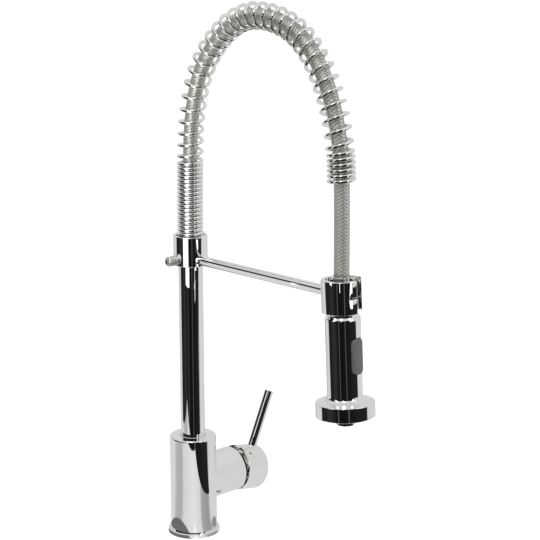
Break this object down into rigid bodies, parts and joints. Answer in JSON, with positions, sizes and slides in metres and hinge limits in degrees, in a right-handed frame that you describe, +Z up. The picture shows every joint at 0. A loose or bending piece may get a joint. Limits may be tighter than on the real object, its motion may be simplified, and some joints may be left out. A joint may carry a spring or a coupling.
{
  "type": "pull-out kitchen mixer tap",
  "caption": "Single-lever kitchen mixer tap with a tall column, a coiled spring arching over a braided hose, a support arm with holder ring and a pull-out spray handset.",
  "frame": {"origin": "centre of the base on the deck, on the column's axis", "axes": "+Z up the column, the support arm and handset towards -Y, the valve and lever towards +X"},
  "size_m": [0.1416, 0.3122, 0.556],
  "materials": {
    "chrome": "polished chrome plate",
    "spring_steel": "polished chromed wire",
    "rod_steel": "polished steel",
    "screw_steel": "matt, knurled",
    "brass": "machined",
    "seal_rubber": "matt black",
    "braid": "braided steel wire over a rubber hose",
    "crimp": "smooth crimped sleeve",
    "grey_plastic": "satin grey",
    "dark_plastic": "matt black",
    "white_plastic": "matt natural",
    "ceramic": "ground ceramic",
    "index_colour": "small dark red and blue dot"
  },
  "bodies": {
    "body": {"base_ring": "chrome", "base_seal": "seal_rubber", "body_casting": "chrome", "riser_bush": "white_plastic", "keeper_screw": "rod_steel", "cartridge_housing": "dark_plastic", "port_seals": "seal_rubber", "fixed_disc": "ceramic", "cartridge_nut": "brass", "valve_shroud": "chrome"},
    "riser": {"riser_tube": "chrome", "riser_foot": "brass", "riser_seals": "seal_rubber", "hose_tail": "brass", "hose_riser": "braid"},
    "bracket": {"collar": "chrome", "collar_bush": "white_plastic", "spring_seat": "rod_steel", "spring": "spring_steel", "hose_arch": "braid", "support_arm": "chrome", "holder_ring": "chrome", "hose_drop": "braid"},
    "thumb_screw": {"thumb_screw": "screw_steel"},
    "hose_end": {"hose_cone": "brass", "hose_ferrule": "crimp"},
    "handset": {"handset_neck": "chrome", "hose_washer": "seal_rubber", "cone_nut": "dark_plastic", "check_cage": "white_plastic", "handset_shell": "chrome", "waterway": "dark_plastic", "spray_face": "dark_plastic", "spray_nozzles": "seal_rubber", "face_seal": "seal_rubber", "outlet_housing": "chrome", "outlet_washer": "seal_rubber", "aerator_insert": "dark_plastic", "rocker_pin": "rod_steel"},
    "check_poppet": {"check_poppet": "white_plastic"},
    "rocker": {"rocker_button": "grey_plastic"},
    "spool": {"diverter_spool": "brass", "spool_seals": "seal_rubber"},
    "rotor": {"cartridge_rotor": "white_plastic", "pivot_pin": "rod_steel"},
    "disc": {"moving_disc": "ceramic", "disc_carrier": "white_plastic"},
    "lever": {"cartridge_stem": "brass", "knob": "chrome", "lever_rod": "chrome", "knob_screw": "rod_steel", "index_plug": "index_colour"}
  },
  "joints": [
    {"name": "riser_swivel", "type": "hinge", "parent": "body", "child": "riser", "pos_m": [0, 0, 0.09], "axis": [0, 0, 1], "continuous": true},
    {"name": "bracket_swing", "type": "hinge", "parent": "riser", "child": "bracket", "pos_m": [0, 0, 0.2995], "axis": [0, 0, 1], "range_deg": [-180, 180]},
    {"name": "thumb_screw_turn", "type": "hinge", "parent": "bracket", "child": "thumb_screw", "pos_m": [0, 0, 0.2903], "axis": [-1, 0, 0], "continuous": true},
    {"name": "handset_pull", "type": "slide", "parent": "bracket", "child": "hose_end", "axis": [0, -0.0593, -0.9982], "range_m": [0, 0.06], "deforming": ["hose_drop"]},
    {"name": "handset_spin", "type": "hinge", "parent": "hose_end", "child": "handset", "pos_m": [0, -0.244, 0.3048], "axis": [0, 0.0593, 0.9982], "continuous": true},
    {"name": "check_lift", "type": "slide", "parent": "handset", "child": "check_poppet", "axis": [0, -0.0593, -0.9982], "range_m": [0, 0.002], "stiffness_N_per_m": 200, "springref_m": -0.004},
    {"name": "rocker_tilt", "type": "hinge", "parent": "handset", "child": "rocker", "pos_m": [0.00316, -0.26212, 0.25048], "axis": [0.9781, 0.2075, -0.0123], "range_deg": [0, 6]},
    {"name": "spool_slide", "type": "slide", "parent": "handset", "child": "spool", "axis": [0, 0.0593, 0.9982], "range_m": [0, 0.00058]},
    {"name": "temperature_turn", "type": "hinge", "parent": "body", "child": "rotor", "pos_m": [0, 0, 0.054], "axis": [0.9914, 0.1305, 0], "range_deg": [-45, 45]},
    {"name": "disc_slide", "type": "slide", "parent": "rotor", "child": "disc", "axis": [0, 0, 1], "range_m": [-0.0055, 0]},
    {"name": "lever_lift", "type": "hinge", "parent": "rotor", "child": "lever", "pos_m": [0.05354, 0.00705, 0.054], "axis": [0.1305, -0.9914, 0], "range_deg": [0, 21]}
  ],
  "couplings": [
    {"joint": "disc_slide", "follows": "lever_lift", "m_per_rad": -0.01492},
    {"joint": "rocker_tilt", "follows": "spool_slide", "rad_per_m": 172.4}
  ]
}
